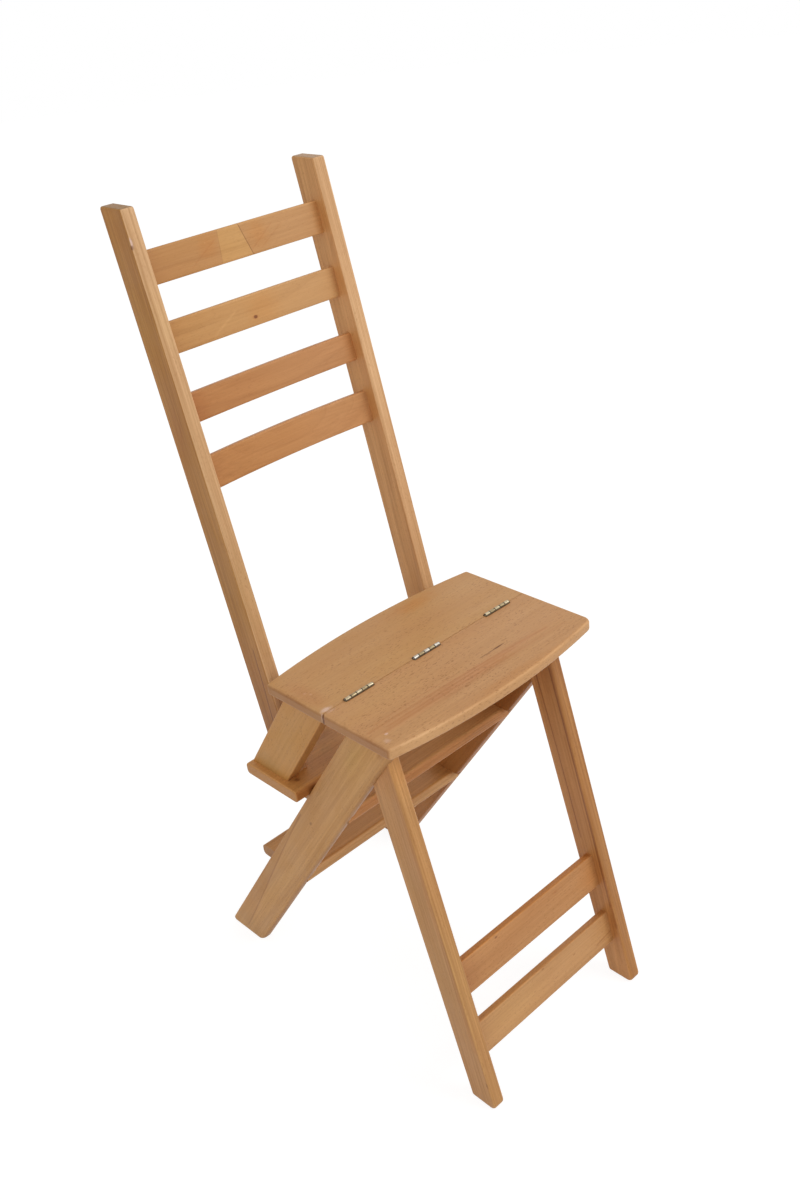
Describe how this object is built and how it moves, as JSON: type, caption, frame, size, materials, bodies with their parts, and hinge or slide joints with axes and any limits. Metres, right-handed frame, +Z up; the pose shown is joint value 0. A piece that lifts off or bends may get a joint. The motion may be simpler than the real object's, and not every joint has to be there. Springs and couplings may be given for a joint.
{
  "type": "library step chair",
  "caption": "Wooden chair whose seat is split and hinged, so that its rear half and slatted back turn over to the front and leave a set of library steps.",
  "frame": {"origin": "on the floor, in the middle of the chair's footprint as it stands open as a chair", "axes": "+Z up, front of the chair towards -Y, sitter's left towards +X"},
  "size_m": [0.2988, 0.4578, 0.92],
  "materials": {
    "beech_board": "satin varnish",
    "beech_frame": "satin varnish",
    "beech_dowel": "bare",
    "hinge_metal": "worn bright plate",
    "screw_steel": "satin"
  },
  "bodies": {
    "front_frame": {"front_leaf_screws": "screw_steel", "front_leg_left": "beech_frame", "front_leg_right": "beech_frame", "hinge_front_leaf_left": "hinge_metal", "hinge_front_leaf_middle": "hinge_metal", "hinge_front_leaf_right": "hinge_metal", "hinge_pins": "hinge_metal", "long_side_board_left": "beech_frame", "long_side_board_right": "beech_frame", "lower_rung": "beech_frame", "lower_tread": "beech_board", "middle_tread": "beech_board", "seat_front": "beech_board", "seat_front_dowels": "beech_dowel", "upper_rung": "beech_frame"},
    "turning_back": {"back_upright_left": "beech_frame", "back_upright_right": "beech_frame", "bottom_back_slat": "beech_frame", "hinge_rear_leaf_left": "hinge_metal", "hinge_rear_leaf_middle": "hinge_metal", "hinge_rear_leaf_right": "hinge_metal", "lower_back_slat": "beech_frame", "rear_leaf_screws": "screw_steel", "seat_rear": "beech_board", "seat_rear_dowels": "beech_dowel", "short_side_board_left": "beech_frame", "short_side_board_right": "beech_frame", "top_back_slat": "beech_frame", "top_tread": "beech_board", "top_tread_dowels": "beech_dowel", "upper_back_slat": "beech_frame", "upright_lap_dowels": "beech_dowel"}
  },
  "joints": [
    {"name": "seat_fold", "type": "hinge", "parent": "front_frame", "child": "turning_back", "pos_m": [0, -0.06016, 0.46025], "axis": [1, 0, 0], "range_deg": [0, 180]}
  ]
}
